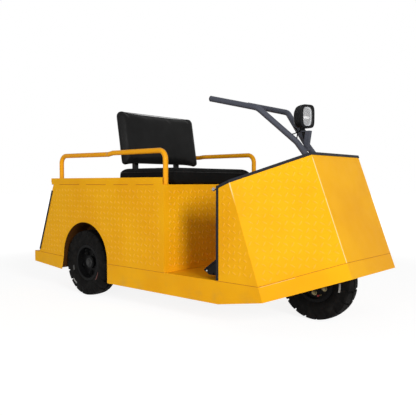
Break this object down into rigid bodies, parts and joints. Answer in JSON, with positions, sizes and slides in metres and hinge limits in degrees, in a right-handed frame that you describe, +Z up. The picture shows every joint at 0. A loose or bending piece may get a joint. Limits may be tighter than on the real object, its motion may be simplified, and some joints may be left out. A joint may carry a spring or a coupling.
{
  "type": "three-wheeled electric baggage tug",
  "caption": "Low sheet-metal electric tug with handlebar steering, bench seat over a battery box, folded nose cowl, grab rails and rear pin hitch.",
  "frame": {"origin": "on the ground under the middle of the overall length and width", "axes": "+X forward, +Y the driver's left, +Z up"},
  "size_m": [2.376, 0.936, 1.2057],
  "materials": {
    "paint": "gloss",
    "trim_rubber": "matt",
    "frame_steel": "satin",
    "bar_grey": "satin",
    "zinc": "plated",
    "motor_black": "satin",
    "battery": "matt",
    "lamp_glass": "clear",
    "chrome": "polished",
    "vinyl": "smooth vinyl",
    "tyre": "matt",
    "rim_black": "satin"
  },
  "bodies": {
    "chassis": {"back_cushion": "vinyl", "back_posts": "frame_steel", "battery_pack": "battery", "box_front": "paint", "box_rear": "paint", "box_side_left": "paint", "box_side_right": "paint", "box_trim": "trim_rubber", "cowl_shield": "paint", "cowl_trim": "trim_rubber", "cross_members": "frame_steel", "deck_tray": "paint", "drive_motor": "motor_black", "floor_plate": "paint", "foot_pedals": "motor_black", "frame_rail_left": "frame_steel", "frame_rail_right": "frame_steel", "grab_rail_left": "paint", "grab_rail_right": "paint", "head_frame": "frame_steel", "lever_knob": "chrome", "nose_skirt": "paint", "parking_lever": "motor_black", "rear_axle": "frame_steel", "rear_bumper": "paint", "rear_platform": "paint", "seat_cushion": "vinyl", "side_skirt_left": "paint", "side_skirt_right": "paint", "toe_board": "paint", "tow_hitch": "frame_steel", "wheel_well_left": "paint", "wheel_well_right": "paint"},
    "steering": {"steering_fork": "frame_steel", "front_axle": "zinc", "handlebar": "bar_grey", "lamp_post": "bar_grey", "lamp_housing": "motor_black", "lamp_lens": "lamp_glass", "lamp_lead": "motor_black"},
    "front_wheel": {"front_tyre": "tyre", "front_rim": "rim_black"},
    "rear_right_wheel": {"rear_right_tyre": "tyre", "rear_right_rim": "rim_black"},
    "rear_left_wheel": {"rear_left_tyre": "tyre", "rear_left_rim": "rim_black"}
  },
  "joints": [
    {"name": "steering", "type": "hinge", "parent": "chassis", "child": "steering", "pos_m": [0.872, 0, 0.6], "axis": [0, 0, 1], "range_deg": [-50, 50]},
    {"name": "front_wheel_spin", "type": "hinge", "parent": "steering", "child": "front_wheel", "pos_m": [0.872, 0, 0.2075], "axis": [0, 1, 0], "continuous": true},
    {"name": "rear_right_spin", "type": "hinge", "parent": "chassis", "child": "rear_right_wheel", "pos_m": [-0.545, -0.3945, 0.2075], "axis": [0, 1, 0], "continuous": true},
    {"name": "rear_left_spin", "type": "hinge", "parent": "chassis", "child": "rear_left_wheel", "pos_m": [-0.545, 0.3945, 0.2075], "axis": [0, 1, 0], "continuous": true}
  ]
}
